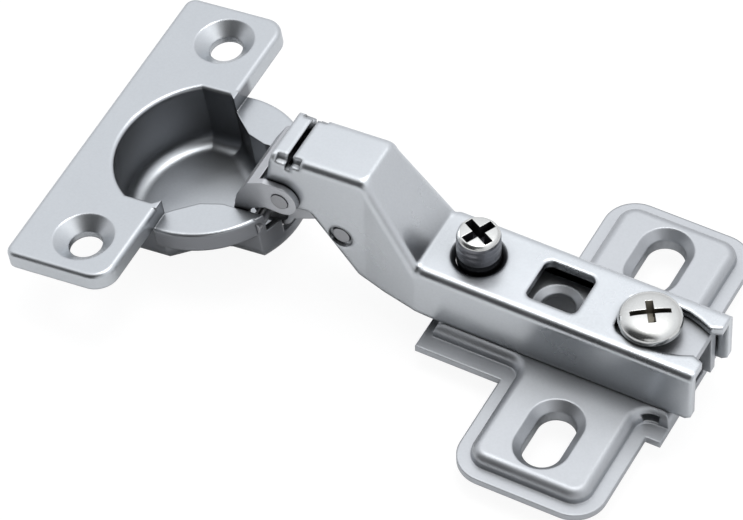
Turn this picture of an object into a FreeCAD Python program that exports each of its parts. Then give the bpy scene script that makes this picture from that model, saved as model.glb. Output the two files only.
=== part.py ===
import FreeCAD, Part
import Sketcher
import math
import os

# Cranked hinge: a hinge cup with its flange, two links, a cranked arm and a
# slotted mounting plate.
# +Z up, +X from the cup towards the arm's rear end, +Y along the pins.
# Origin: centre of the two plate slots, on the underside of the plate.
# The hinge stands open, with the flange 8.5 degrees from level.

SIZES = [
    # mounting plate
    ("slot_pitch", 32.0),
    ("slot_radius", 2.65),
    ("slot_length", 9.4),
    ("slot_bevel", 1.15),
    ("slot_boss", 2.0),
    ("plate_front", 10.25),
    ("plate_rear", 10.5),
    ("plate_reach", 25.4),
    ("plate_corner", 4.5),
    ("plate_lip", 1.9),
    ("lip_height", 1.0),
    ("platform_round", 1.3),
    ("inner_corner", 2.0),
    ("plate_gauge", 1.2),
    ("tail_front", 22.6),
    ("tail_half", 9.6),
    ("tail_step", 1.3),
    ("hat_half", 7.1),
    ("hat_height", 2.9),
    ("spine_half", 4.3),
    ("spine_height", 9.9),
    ("spine_front", 21.0),
    ("spine_rear", 13.6),
    ("dip_front", 12.2),
    ("dip_rear", 0.8),
    ("dip_depth", 2.2),
    ("dip_slope", 1.0),
    ("tab_reach", 12.6),
    ("tab_inner", 4.6),
    ("tab_window_place", 9.9),
    ("tab_window_length", 2.6),
    ("tab_window_height", 1.2),
    ("tab_window_foot", 1.2),
    ("centre_hole_place", 6.75),
    ("centre_hole_radius", 2.3),
    ("centre_hole_rim", 3.3),
    ("centre_rim_depth", 0.6),
    # arm
    ("arm_gauge", 1.2),
    ("arm_half", 6.07),
    ("arm_front_half", 4.46),
    ("arm_seat_gap", 0.35),
    ("arm_rear", 15.1),
    ("arm_bottom_gap", 0.2),
    ("crank_foot_place", 24.5),
    ("crank_head_place", 32.4),
    ("crank_head_height", 22.27),
    ("nose_place", 46.0),
    ("nose_height", 21.1),
    ("nose_flange_foot", 17.4),
    ("knee_place", 32.6),
    ("knee_height", 3.3),
    ("throat_place", 39.9),
    ("throat_height", 12.3),
    ("front_ear_radius", 2.6),
    ("relief_place", 43.5),
    ("relief_width", 0.8),
    ("relief_end_length", 3.6),
    ("relief_end_width", 1.0),
    ("window_place", 6.35),
    ("window_length", 7.3),
    ("window_half", 3.4),
    ("window_corner", 1.0),
    ("side_screw_place", 18.15),
    ("side_hole_rim", 3.75),
    ("arm_slot_front", 2.4),
    ("arm_slot_half", 3.3),
    ("arm_slot_belly", 3.9),
    ("arm_slot_mouth", 2.45),
    # screws
    ("side_screw_radius", 2.93),
    ("side_screw_height", 4.68),
    ("side_screw_neck", 1.5),
    ("side_screw_foot", 2.6),
    ("side_screw_foot_height", 0.8),
    ("fixing_screw_place", 6.34),
    ("fixing_screw_radius", 2.2),
    ("fixing_screw_head", 4.23),
    ("fixing_screw_rise", 2.1),
    ("fixing_screw_length", 6.6),
    ("recess_width", 1.1),
    ("recess_depth", 1.2),
    ("recess_length", 5.6),
    ("fixing_screw_turn", 33.0),
    ("side_screw_turn", -27.5),
    # pivots, seen from the side
    ("front_pivot_place", 44.248),
    ("front_pivot_height", 14.064),
    ("rear_pivot_place", 35.99),
    ("rear_pivot_height", 10.272),
    ("front_pin_radius", 1.2),
    ("rear_pin_radius", 1.2),
    ("cup_pin_radius", 0.95),
    ("pin_dish_radius", 1.75),
    ("pin_dish_depth", 0.5),
    ("link_slot_travel", 1.7),
    ("link_slot_play", 0.44),
    ("link_slot_shift", 0.75),
    ("link_slot_drop", 0.32),
    ("link_slot_wall", 0.75),
    # links
    ("link_gauge", 0.9),
    ("link_web", 0.85),
    ("link_eye", 2.4),
    ("cup_eye", 1.9),
    ("rear_link_half", 3.0),
    ("rear_link_gauge", 1.0),
    ("rear_link_eye", 2.3),
    # closing spring
    ("spring_wire", 0.35),
    ("spring_radius", 2.0),
    ("spring_turns", 3.0),
    # hinge cup, in the cup's own frame
    ("cup_place", 58.5),
    ("cup_height", 10.84),
    ("cup_tilt", 8.53),
    ("cup_radius", 13.0),
    ("cup_depth", 11.0),
    ("cup_floor_round", 3.0),
    ("cup_mouth_round", 0.6),
    ("cup_gauge", 0.95),
    ("cup_flat", 10.35),
    ("channel_half", 5.75),
    ("channel_gauge", 1.1),
    ("shelf_drop", 2.35),
    ("shelf_round", 0.5),
    ("shelf_run", 6.5),
    ("shelf_skirt", 5.2),
    ("front_wall_drop", 5.2),
    ("notch_half", 3.35),
    ("notch_drop", 7.4),
    ("floor_hole_front", 12.0),
    ("floor_hole_rear", 8.6),
    ("flange_rear", 16.4),
    ("flange_front", 1.0),
    ("flange_half", 25.1),
    ("flange_height", 2.4),
    ("flange_corner", 3.0),
    ("flange_rear_corner", 1.5),
    ("flange_hole_place", 7.54),
    ("flange_hole_pitch", 38.0),
    ("flange_hole_radius", 2.25),
    ("flange_hole_rim", 4.15),
    ("flange_rim_depth", 1.5),
    ("flange_dish_wall", 0.7),
    ("cup_pin_inset", 2.49),
    ("cup_pin_drop", 3.98),
    ("cup_rivet_inset", 4.87),
    ("cup_rivet_drop", 6.26),
    # clearances
    ("running_gap", 0.05),
    ("side_gap", 0.14),
    ("lift_gap", 0.2),
]

doc = FreeCAD.newDocument("CrankedHinge")
sheet = doc.addObject("Spreadsheet::Sheet", "Sizes")
for row, (alias, number) in enumerate(SIZES, start=1):
    sheet.set("A%d" % row, alias)
    sheet.set("B%d" % row, str(number))
    sheet.setAlias("B%d" % row, alias)
doc.recompute()


class Size:
    """A number together with the sheet formula that gives it."""

    def __init__(self, value, text):
        self.value = float(value)
        self.text = text

    def __add__(self, other):
        other = as_size(other)
        return Size(self.value + other.value, "(%s + %s)" % (self.text, other.text))

    def __sub__(self, other):
        other = as_size(other)
        return Size(self.value - other.value, "(%s - %s)" % (self.text, other.text))

    def __mul__(self, other):
        other = as_size(other)
        return Size(self.value * other.value, "(%s * %s)" % (self.text, other.text))

    def __truediv__(self, other):
        other = as_size(other)
        return Size(self.value / other.value, "(%s / %s)" % (self.text, other.text))

    def __neg__(self):
        return Size(-self.value, "(0 - %s)" % self.text)

    def __radd__(self, other):
        return as_size(other) + self

    def __rsub__(self, other):
        return as_size(other) - self

    def __rmul__(self, other):
        return as_size(other) * self


def as_size(number):
    if isinstance(number, Size):
        return number
    return Size(number, "(%.6f)" % number)


class Sizes:
    """Each name of the sheet as a Size."""


S = Sizes()
for alias, number in SIZES:
    setattr(S, alias, Size(sheet.get(alias), "Sizes." + alias))

PLANES = {
    "XY": FreeCAD.Rotation(0, 0, 0),
    "XZ": FreeCAD.Rotation(FreeCAD.Vector(1, 0, 0), 90),
    "YZ": FreeCAD.Rotation(FreeCAD.Vector(1, 1, 1), 120),
}
AXES = {
    "Y": FreeCAD.Rotation(FreeCAD.Vector(1, 0, 0), -90),
    "Z": FreeCAD.Rotation(0, 0, 0),
}


def bind(obj, name, size):
    obj.setExpression(name, as_size(size).text)


def place(obj, x, y, z, rotation=None):
    base = [as_size(part) for part in (x, y, z)]
    turn = rotation if rotation else FreeCAD.Rotation(0, 0, 0)
    obj.Placement = FreeCAD.Placement(FreeCAD.Vector(*[part.value for part in base]), turn)
    for letter, part in zip("xyz", base):
        bind(obj, "Placement.Base." + letter, part)


def outline(name, plane, points):
    """A closed outline through the points, each held by its two distances."""
    sketch = doc.addObject("Sketcher::SketchObject", name)
    sketch.Placement = FreeCAD.Placement(FreeCAD.Vector(0, 0, 0), PLANES[plane])
    corners = [(as_size(a), as_size(b)) for a, b in points]
    for index, (a, b) in enumerate(corners):
        following = corners[(index + 1) % len(corners)]
        start = FreeCAD.Vector(a.value, b.value, 0)
        end = FreeCAD.Vector(following[0].value, following[1].value, 0)
        sketch.addGeometry(Part.LineSegment(start, end), False)
    count = len(corners)
    for index in range(count):
        sketch.addConstraint(Sketcher.Constraint("Coincident", index, 2, (index + 1) % count, 1))
    for index, (a, b) in enumerate(corners):
        across = sketch.addConstraint(Sketcher.Constraint("DistanceX", index, 1, a.value))
        along = sketch.addConstraint(Sketcher.Constraint("DistanceY", index, 1, b.value))
        bind(sketch, "Constraints[%d]" % across, a)
        bind(sketch, "Constraints[%d]" % along, b)
    return sketch


def extrude(name, sketch, length, both=False, back=0):
    """A solid from an outline, to one side or shared between both."""
    solid = doc.addObject("Part::Extrusion", name)
    solid.Base = sketch
    solid.DirMode = "Normal"
    solid.Solid = True
    solid.Symmetric = both
    bind(solid, "LengthFwd", length)
    if isinstance(back, Size) or back:
        bind(solid, "LengthRev", back)
    return solid


def box(name, x0, x1, y0, y1, z0, z1):
    solid = doc.addObject("Part::Box", name)
    bind(solid, "Length", as_size(x1) - x0)
    bind(solid, "Width", as_size(y1) - y0)
    bind(solid, "Height", as_size(z1) - z0)
    place(solid, x0, y0, z0)
    return solid


def cylinder(name, radius, height, x, y, z, axis="Z"):
    solid = doc.addObject("Part::Cylinder", name)
    bind(solid, "Radius", radius)
    bind(solid, "Height", height)
    place(solid, x, y, z, AXES[axis])
    return solid


def cone(name, radius_low, radius_high, height, x, y, z, axis="Z"):
    solid = doc.addObject("Part::Cone", name)
    bind(solid, "Radius1", radius_low)
    bind(solid, "Radius2", radius_high)
    bind(solid, "Height", height)
    place(solid, x, y, z, AXES[axis])
    return solid


def join(name, solids):
    joined = doc.addObject("Part::MultiFuse", name)
    joined.Shapes = solids
    joined.Refine = True
    return joined


def shared(name, solids):
    kept = doc.addObject("Part::MultiCommon", name)
    kept.Shapes = solids
    kept.Refine = True
    return kept


def cut(name, solid, tools):
    tool = tools[0] if len(tools) == 1 else join(name + "_tools", tools)
    result = doc.addObject("Part::Cut", name)
    result.Base = solid
    result.Tool = tool
    result.Refine = True
    return result


def rounded(name, solid, picks):
    """Rounds the edges that each pick's test accepts, to that pick's radius."""
    doc.recompute()
    chosen = []
    for index, edge in enumerate(solid.Shape.Edges, start=1):
        for radius, test in picks:
            if test(edge):
                chosen.append((index, radius, radius))
                break
    result = doc.addObject("Part::Fillet", name)
    result.Base = solid
    result.Edges = chosen
    return result


def upright(edge):
    """An edge along Z."""
    low, high = edge.BoundBox.ZMin, edge.BoundBox.ZMax
    flat = edge.BoundBox.XLength < 0.01 and edge.BoundBox.YLength < 0.01
    return flat and high - low > 0.01


def rounded_slab(name, x0, x1, half, z0, z1, front_radius, rear_radius=None):
    """A slab centred on the XZ plane with upright corners rounded."""
    rear_radius = front_radius if rear_radius is None else rear_radius
    slab = box(name + "_block", x0, x1, -as_size(half), half, z0, z1)
    middle = (as_size(x0).value + as_size(x1).value) / 2
    picks = [
        (as_size(front_radius).value, lambda edge: upright(edge) and edge.CenterOfMass.x < middle),
        (as_size(rear_radius).value, upright),
    ]
    return rounded(name, slab, picks)


def slot_block(name, radius, length, x, y, z0, z1):
    """A round-ended block that runs along Y."""
    half = (as_size(length) - as_size(radius) * 2) / 2
    height = as_size(z1) - z0
    ends = [
        cylinder(name + "_low", radius, height, x, as_size(y) - half, z0),
        cylinder(name + "_high", radius, height, x, as_size(y) + half, z0),
    ]
    middle = box(
        name + "_middle", as_size(x) - radius, as_size(x) + radius,
        as_size(y) - half, as_size(y) + half, z0, z1)
    return join(name, ends + [middle])


SKIN = 0.5
NODES = []


def keep(node, solid):
    solid.Label = node
    NODES.append(solid)
    return solid


# Mounting plate
wing_front = -S.plate_front
wing_rear = S.plate_rear
lip_slab = rounded_slab(
    "plate_lip_slab", wing_front, wing_rear, S.plate_reach, 0, S.lip_height, S.plate_corner)
platform_slab = rounded_slab(
    "plate_platform", wing_front + S.plate_lip, wing_rear - S.plate_lip,
    S.plate_reach - S.plate_lip, 0, S.hat_height, S.plate_corner - S.plate_lip)
tail = box(
    "plate_tail", -S.tail_front, wing_front + S.plate_corner, -S.tail_half, S.tail_half,
    0, S.lip_height)
hat = box(
    "plate_hat", -S.tail_front + S.tail_step, S.tab_reach, -S.hat_half, S.hat_half,
    0, S.hat_height)


def inner_corner(edge):
    """An upright corner where the hat meets a wing."""
    centre = edge.CenterOfMass
    on_hat = abs(abs(centre.y) - S.hat_half.value) < 0.01
    front = wing_front.value + S.plate_lip.value
    rear = wing_rear.value - S.plate_lip.value
    return upright(edge) and on_hat and min(abs(centre.x - front), abs(centre.x - rear)) < 0.01


def pressed_top(edge):
    """An edge round the pressed plate's top face."""
    return edge.BoundBox.ZMin > S.hat_height.value - 0.01


pressing = rounded("plate_pressing", join("plate_cross", [platform_slab, hat]), [
    (S.inner_corner.value, inner_corner)])
pressed = rounded("plate_pressed", pressing, [(S.platform_round.value, pressed_top)])


def spine_side(front, rear, foot, top, shift):
    """The spine's side outline, which dips round the middle hole."""
    return [
        (front, foot),
        (front, top),
        (-S.dip_front - shift, top),
        (-S.dip_front + S.dip_slope - shift, top - S.dip_depth),
        (-S.dip_rear - S.dip_slope + shift, top - S.dip_depth),
        (-S.dip_rear + shift, top),
        (rear, top),
        (rear, foot),
    ]


spine = extrude(
    "plate_spine",
    outline("spine_outline", "XZ", spine_side(
        -S.spine_front, S.spine_rear, S.hat_height - S.plate_gauge, S.spine_height, 0)),
    S.spine_half * 2, True)
tabs = [
    box("plate_tab_near", 0, S.tab_reach, -S.tail_half, -S.tab_inner, 0, S.lip_height),
    box("plate_tab_far", 0, S.tab_reach, S.tab_inner, S.tail_half, 0, S.lip_height),
]
plate_outer = join("plate_outer", [lip_slab, pressed, tail, spine] + tabs)

inset = S.plate_lip + S.plate_gauge
dip_top = S.spine_height - S.dip_depth
plate_hollow = rounded_slab(
    "plate_hollow_slab", wing_front + inset, wing_rear - inset, S.plate_reach - inset,
    -SKIN, S.hat_height - S.plate_gauge, S.plate_corner - inset)
bosses = []
slot_cuts = []
for side, word in ((-1, "near"), (1, "far")):
    slot_y = S.slot_pitch / 2 * side
    bosses.append(slot_block(
        "slot_boss_" + word, S.slot_radius + S.slot_boss, S.slot_length + S.slot_boss * 2,
        0, slot_y, -SKIN * 2, S.hat_height))
    slot_cuts.append(slot_block(
        "slot_cut_" + word, S.slot_radius, S.slot_length,
        0, slot_y, -SKIN, S.hat_height + SKIN))
plate_hollow_cut = cut("plate_hollow", plate_hollow, bosses)
hat_hollow = box(
    "hat_hollow", -S.tail_front + S.tail_step + S.plate_gauge, S.tab_reach - S.plate_gauge,
    -S.hat_half + S.plate_gauge, S.hat_half - S.plate_gauge, -SKIN, S.hat_height - S.plate_gauge)
spine_hollow = extrude(
    "spine_hollow",
    outline("spine_hollow_outline", "XZ", spine_side(
        -S.spine_front - SKIN, S.spine_rear + SKIN, S.hat_height - S.plate_gauge - SKIN,
        S.spine_height - S.plate_gauge, S.plate_gauge * 0.6)),
    (S.spine_half - S.plate_gauge) * 2, True)
spine_foot = box(
    "spine_foot", -S.tail_front + S.tail_step + S.plate_gauge, wing_rear - S.plate_gauge,
    -S.spine_half + S.plate_gauge, S.spine_half - S.plate_gauge,
    -SKIN, S.hat_height - S.plate_gauge + SKIN)
fork = box(
    "spine_fork", -S.spine_front - SKIN, -S.side_screw_place + S.side_screw_neck,
    -S.side_screw_neck - S.lift_gap, S.side_screw_neck + S.lift_gap,
    S.spine_height - S.plate_gauge - SKIN, S.spine_height + SKIN)
fork_end = cylinder(
    "spine_fork_end", S.side_screw_neck + S.lift_gap, S.plate_gauge + SKIN * 2,
    -S.side_screw_place + S.side_screw_neck, 0, S.spine_height - S.plate_gauge - SKIN)
thread_hole = cylinder(
    "plate_thread", S.fixing_screw_radius + S.running_gap, S.plate_gauge + SKIN * 2,
    S.fixing_screw_place, 0, S.spine_height - S.plate_gauge - SKIN)
centre_hole = cylinder(
    "centre_hole", S.centre_hole_radius, S.plate_gauge + SKIN * 2,
    -S.centre_hole_place, 0, dip_top - S.plate_gauge - SKIN)
centre_rim = cone(
    "centre_rim", S.centre_hole_radius, S.centre_hole_rim, S.centre_rim_depth,
    -S.centre_hole_place, 0, dip_top - S.centre_rim_depth)
tab_windows = []
for side, word in ((-1, "near"), (1, "far")):
    low = -S.hat_half - SKIN if side < 0 else S.hat_half - S.plate_gauge - SKIN
    tab_windows.append(box(
        "plate_tab_window_" + word, S.tab_window_place - S.tab_window_length / 2,
        S.tab_window_place + S.tab_window_length / 2, low, low + S.plate_gauge + SKIN * 2,
        S.tab_window_foot, S.tab_window_foot + S.tab_window_height))
plate_raw = cut("plate_raw", plate_outer, [
    plate_hollow_cut, hat_hollow, spine_hollow, spine_foot, fork, fork_end,
    thread_hole, centre_hole, centre_rim] + tab_windows + slot_cuts)
doc.recompute()


def slot_rim(edge):
    """An edge of a slot's mouth on the platform."""
    level = S.hat_height.value
    on_top = abs(edge.BoundBox.ZMin - level) < 0.01 and abs(edge.BoundBox.ZMax - level) < 0.01
    centre = edge.CenterOfMass
    reach = S.slot_radius.value + 0.01
    far_enough = abs(abs(centre.y) - S.slot_pitch.value / 2) < S.slot_length.value / 2 + 0.01
    return on_top and far_enough and abs(centre.x) < reach


bevel = doc.addObject("Part::Chamfer", "mounting_plate")
bevel.Base = plate_raw
bevel.Edges = [
    (index, S.slot_bevel.value, S.slot_bevel.value)
    for index, edge in enumerate(plate_raw.Shape.Edges, start=1) if slot_rim(edge)]
keep("mounting_plate", bevel)

# Arm
front_x = -S.front_pivot_place
front_z = S.front_pivot_height
rear_x = -S.rear_pivot_place
rear_z = S.rear_pivot_height
cheek_foot = S.hat_height + S.arm_bottom_gap
arm_top = S.spine_height + S.arm_seat_gap + S.arm_gauge
nose_x = -S.nose_place
side_points = [
    (nose_x, S.nose_height),
    (-S.crank_head_place, S.crank_head_height),
    (-S.crank_foot_place, arm_top),
    (S.arm_rear, arm_top),
    (S.arm_rear, cheek_foot + 0.6),
    (S.arm_rear - 0.8, cheek_foot),
    (-S.tail_front, cheek_foot),
    (-S.tail_front - 2.4, S.knee_height),
    (-S.tail_front - 6.8, S.knee_height),
    (-S.knee_place, S.knee_height + 0.4),
    (-S.knee_place - 0.9, S.knee_height + 0.9),
    (-S.throat_place, S.throat_height),
    (front_x, front_z - S.front_ear_radius),
    (front_x - S.front_ear_radius * 0.707, front_z - S.front_ear_radius * 0.707),
    (front_x - S.front_ear_radius, front_z),
]
arm_side = extrude("arm_side", outline("arm_side_outline", "XZ", side_points), S.arm_half * 2, True)


def plan_points(half, front_half):
    side = [
        (nose_x - 3, front_half),
        (-S.crank_head_place, front_half),
        (-S.crank_foot_place, half),
        (S.arm_rear + 3, half),
    ]
    return side + [(a, -as_size(b)) for a, b in reversed(side)]


arm_plan = extrude(
    "arm_plan", outline("arm_plan_outline", "XY", plan_points(S.arm_half, S.arm_front_half)),
    S.crank_head_height + 5)
arm_block = shared("arm_block", [arm_side, arm_plan])


def arm_ridge(edge):
    """A lengthwise top edge of the arm."""
    first, last = edge.Vertexes[0].Point, edge.Vertexes[-1].Point
    if abs(first.x - last.x) < 1 or abs(abs(first.y) + abs(last.y)) < S.arm_front_half.value:
        return False
    return min(first.z, last.z) > arm_top.value - 0.01 and first.y * last.y > 0


arm_round = rounded("arm_round", arm_block, [
    (S.arm_gauge.value * 0.95, arm_ridge),
])
wall = S.arm_gauge
inner_side = [
    (nose_x + wall, S.nose_height - wall),
    (-S.crank_head_place - wall / 2, S.crank_head_height - wall),
    (-S.crank_foot_place - wall / 2, arm_top - wall),
    (S.arm_rear + 2, arm_top - wall),
    (S.arm_rear + 2, -1),
    (nose_x + wall, -1),
]
inner_block = extrude(
    "arm_inner_side", outline("arm_inner_outline", "XZ", inner_side), S.arm_half * 2, True)
inner_plan = extrude(
    "arm_inner_plan",
    outline("arm_inner_plan_outline", "XY", plan_points(S.arm_half - wall, S.arm_front_half - wall)),
    S.crank_head_height + 5)
arm_void = shared("arm_void", [inner_block, inner_plan])
nose_open = box(
    "arm_nose_open", nose_x - 2, nose_x + wall + SKIN, -S.arm_front_half + wall,
    S.arm_front_half - wall, 0, S.nose_flange_foot)
relief = box(
    "arm_relief", -S.relief_place - S.relief_width / 2, -S.relief_place + S.relief_width / 2,
    -S.arm_front_half - 1, S.arm_front_half + 1,
    S.nose_height - wall - SKIN, S.crank_head_height + 1)
relief_ends = []
for side, word in ((-1, "near"), (1, "far")):
    inner = S.arm_front_half - S.relief_end_width
    low = -S.arm_front_half - 1 if side < 0 else inner
    high = -inner if side < 0 else S.arm_front_half + 1
    relief_ends.append(box(
        "arm_relief_end_" + word, -S.relief_place - S.relief_end_length / 2,
        -S.relief_place + S.relief_end_length / 2, low, high,
        S.nose_height - wall * 0.7, S.crank_head_height + 1))
window = rounded_slab(
    "arm_window", -S.window_place - S.window_length / 2, -S.window_place + S.window_length / 2,
    S.window_half, arm_top - wall - SKIN, arm_top + SKIN, S.window_corner)
side_hole = cylinder(
    "arm_side_hole", S.side_screw_radius + S.running_gap, wall + SKIN * 2,
    -S.side_screw_place, 0, arm_top - wall - SKIN)
side_rim = cone(
    "arm_side_rim", S.side_screw_radius + S.running_gap, S.side_hole_rim, wall * 0.6,
    -S.side_screw_place, 0, arm_top - wall * 0.6)
slot_side = [
    (S.arm_slot_front, S.arm_slot_half - 0.9),
    (S.arm_slot_front + 0.9, S.arm_slot_half),
    (S.fixing_screw_place, S.arm_slot_half),
    (S.fixing_screw_place + 2.1, S.arm_slot_belly),
    (S.fixing_screw_place + 3.8, S.arm_slot_belly - 0.15),
    (S.fixing_screw_place + 5.6, (S.arm_slot_belly + S.arm_slot_mouth) / 2),
    (S.arm_rear - 1.5, S.arm_slot_mouth),
    (S.arm_rear + 1, S.arm_slot_mouth + 1),
]
slot_plan = slot_side + [(a, -as_size(b)) for a, b in reversed(slot_side)]
rear_slot = extrude("arm_rear_slot", outline("arm_slot_outline", "XY", slot_plan), arm_top + SKIN * 4)
rear_slot_high = box(
    "arm_slot_band", 0, S.arm_rear + 3, -S.arm_half, S.arm_half, arm_top - wall - SKIN,
    arm_top + SKIN)
rear_slot_cut = shared("arm_slot_cut", [rear_slot, rear_slot_high])
pin_holes = [
    cylinder("arm_hole_front", S.front_pin_radius, S.arm_half * 2, front_x, -S.arm_half, front_z, "Y"),
    cylinder("arm_hole_rear", S.rear_pin_radius, S.arm_half * 2, rear_x, -S.arm_half, rear_z, "Y"),
]
for side, word in ((-1, "near"), (1, "far")):
    start = -S.arm_half if side < 0 else S.arm_front_half - S.pin_dish_depth
    pin_holes.append(cylinder(
        "arm_dish_" + word, S.pin_dish_radius, S.arm_half - S.arm_front_half + S.pin_dish_depth,
        rear_x, start, rear_z, "Y"))
arm = cut("arm", arm_round, [
    arm_void, nose_open, relief, window, side_hole, side_rim, rear_slot_cut]
    + relief_ends + pin_holes)
keep("arm", arm)

# Screws
def cross(name, width, length, depth, x, top, turn):
    """A cross of two grooves at a screw's top, turned by the screw's angle."""
    bars = []
    for index, (long_x, long_y) in enumerate(((length, width), (width, length))):
        bar = doc.addObject("Part::Box", "%s_%d" % (name, index))
        bind(bar, "Length", long_x)
        bind(bar, "Width", long_y)
        bind(bar, "Height", as_size(depth) + SKIN)
        place(bar, -as_size(long_x) / 2, -as_size(long_y) / 2, 0)
        bars.append(bar)
    both = join(name, bars)
    place(both, x, 0, as_size(top) - depth, FreeCAD.Rotation(FreeCAD.Vector(0, 0, 1), turn.value))
    return both


side_top = arm_top + S.side_screw_height
side_x = -S.side_screw_place
side_low = S.spine_height + S.lift_gap
foot_top = S.spine_height - S.plate_gauge - S.lift_gap
side_parts = [
    cylinder("side_screw_thread", S.side_screw_radius, side_top - side_low - 0.5, side_x, 0, side_low),
    cone("side_screw_tip", S.side_screw_radius, S.side_screw_radius - 0.5, 0.5,
         side_x, 0, side_top - 0.5),
    cylinder("side_screw_shank", S.side_screw_neck, side_low - foot_top + 0.2,
             side_x, 0, foot_top - 0.1),
    cylinder("side_screw_disc", S.side_screw_foot, S.side_screw_foot_height,
             side_x, 0, foot_top - S.side_screw_foot_height),
]
side_body = join("side_screw_body", side_parts)
side_cross = cross("side_screw_cross", S.recess_width, S.side_screw_radius * 2 + 1,
                   S.recess_depth * 1.3, side_x, side_top, S.side_screw_turn)
keep("side_screw", cut("side_screw", side_body, [side_cross]))

head_low = arm_top + S.running_gap
fix_x = S.fixing_screw_place
shaft_low = arm_top - S.fixing_screw_length
head_rim = cylinder("fixing_head_rim", S.fixing_screw_head, S.fixing_screw_rise * 0.35, fix_x, 0, head_low)
head_mid = cone("fixing_head_mid", S.fixing_screw_head, S.fixing_screw_head * 0.86,
                S.fixing_screw_rise * 0.35, fix_x, 0, head_low + S.fixing_screw_rise * 0.35)
head_cap = cone("fixing_head_cap", S.fixing_screw_head * 0.86, S.fixing_screw_head * 0.55,
                S.fixing_screw_rise * 0.3, fix_x, 0, head_low + S.fixing_screw_rise * 0.7)
shaft = cylinder("fixing_shaft", S.fixing_screw_radius, head_low - shaft_low + 0.2, fix_x, 0, shaft_low)
fixing_body = join("fixing_screw_body", [head_rim, head_mid, head_cap, shaft])
fixing_cross = cross("fixing_screw_cross", S.recess_width, S.recess_length, S.recess_depth,
                     fix_x, head_low + S.fixing_screw_rise, S.fixing_screw_turn)
keep("fixing_screw", cut("fixing_screw", fixing_body, [fixing_cross]))

# Pins of the arm
ear_outer = S.arm_front_half + S.side_gap + S.link_gauge
front_reach = ear_outer + 0.15
keep("arm_pin_front", cylinder(
    "arm_pin_front", S.front_pin_radius, front_reach * 2, front_x, -front_reach, front_z, "Y"))
rear_reach = S.arm_front_half - S.pin_dish_depth + 0.25
keep("arm_pin_rear", cylinder(
    "arm_pin_rear", S.rear_pin_radius, rear_reach * 2, rear_x, -rear_reach, rear_z, "Y"))

# Pins of the cup
tilt = math.radians(S.cup_tilt.value)
tilt_text = "Sizes.cup_tilt * 1 deg"
COS = Size(math.cos(tilt), "cos(%s)" % tilt_text)
SIN = Size(math.sin(tilt), "sin(%s)" % tilt_text)


def from_cup(forward, rise):
    """Side-view place of a point given in the cup's own frame."""
    x = -S.cup_place + COS * forward - SIN * rise
    z = S.cup_height + SIN * forward + COS * rise
    return x, z


pin_x, pin_z = from_cup(S.cup_radius - S.cup_pin_inset, -S.cup_pin_drop)
rivet_x, rivet_z = from_cup(S.cup_radius - S.cup_rivet_inset, -S.cup_rivet_drop)
cup_reach = S.channel_half + S.channel_gauge
ear_inner = S.arm_front_half + S.side_gap
keep("cup_pin", cylinder(
    "cup_pin", S.cup_pin_radius, cup_reach * 2, pin_x, -cup_reach, pin_z, "Y"))
rivet_start = ear_inner - S.side_gap
rivet_length = cup_reach - rivet_start
keep("cup_rivets", join("cup_rivets", [
    cylinder("cup_rivet_near", S.cup_pin_radius, rivet_length, rivet_x, -cup_reach, rivet_z, "Y"),
    cylinder("cup_rivet_far", S.cup_pin_radius, rivet_length, rivet_x, rivet_start, rivet_z, "Y")]))

# Front link
eye = S.link_eye
outer_edge = [
    (front_x, front_z + eye),
    (front_x - 2.6, front_z + eye - 0.15),
    (front_x - 4.75, front_z + 1.1),
    (front_x - 6.35, front_z - 1.8),
    (rivet_x - S.cup_eye + 0.25, rivet_z + 3.1),
    (rivet_x - S.cup_eye, rivet_z),
]
inner_edge = [
    (rivet_x + S.cup_eye * 0.7, rivet_z),
    (pin_x - S.cup_pin_radius - 0.75, pin_z - 0.9),
    (pin_x - S.cup_pin_radius - 0.65, pin_z + 0.9),
    (pin_x - 0.8, pin_z + S.cup_pin_radius + 1.2),
    (front_x - 2.2, front_z - eye),
    (front_x, front_z - eye),
]
link_ears = []
for side, word in ((-1, "near"), (1, "far")):
    start = -ear_outer if side < 0 else ear_inner
    link_ears += [
        extrude("link_ear_" + word, outline("link_ear_outline_" + word, "XZ", outer_edge + inner_edge),
                -start, False, start + S.link_gauge),
        cylinder("link_root_" + word, eye, S.link_gauge, front_x, start, front_z, "Y"),
        cylinder("link_tip_" + word, S.cup_eye, S.link_gauge, rivet_x, start, rivet_z, "Y"),
    ]
web_edge = [
    (front_x - 3.35, front_z + 1.85),
    (front_x - 4.75, front_z + 1.1),
    (front_x - 6.35, front_z - 1.8),
    (front_x - 6.75, front_z - 3.6),
    (front_x - 6.75 + S.link_web, front_z - 3.6),
    (front_x - 6.35 + S.link_web * 0.9, front_z - 1.8 + S.link_web * 0.3),
    (front_x - 4.75 + S.link_web * 0.6, front_z + 1.1 - S.link_web * 0.8),
    (front_x - 3.35, front_z + 1.85 - S.link_web),
]
web = extrude("link_web", outline("link_web_outline", "XZ", web_edge), ear_outer * 2, True)
link_body = join("front_link_body", link_ears + [web])
front_link = cut("front_link", link_body, [
    cylinder("front_link_hole", S.front_pin_radius + S.running_gap, ear_outer * 2 + 2,
             front_x, -ear_outer - 1, front_z, "Y"),
    cylinder("front_link_cup_hole", S.cup_pin_radius + S.running_gap, ear_outer * 2 + 2,
             rivet_x, -ear_outer - 1, rivet_z, "Y")])
keep("front_link", front_link)

# Rear link
# The cup's pin rides in a slot of this link, along the line to the rear pivot.
run_x = pin_x - rear_x
run_z = pin_z - rear_z
run = Size(
    math.hypot(run_x.value, run_z.value),
    "sqrt((%s) ^ 2 + (%s) ^ 2)" % (run_x.text, run_z.text))
ahead_x = run_x / run
ahead_z = run_z / run
slot_half = S.cup_pin_radius + S.link_slot_play
tip_radius = slot_half + S.link_slot_wall


def along_slot(ahead, down):
    """A side-view place near the cup's pin, along and across the rear link."""
    return (pin_x + ahead_x * ahead - ahead_z * down, pin_z + ahead_z * ahead + ahead_x * down)


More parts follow.
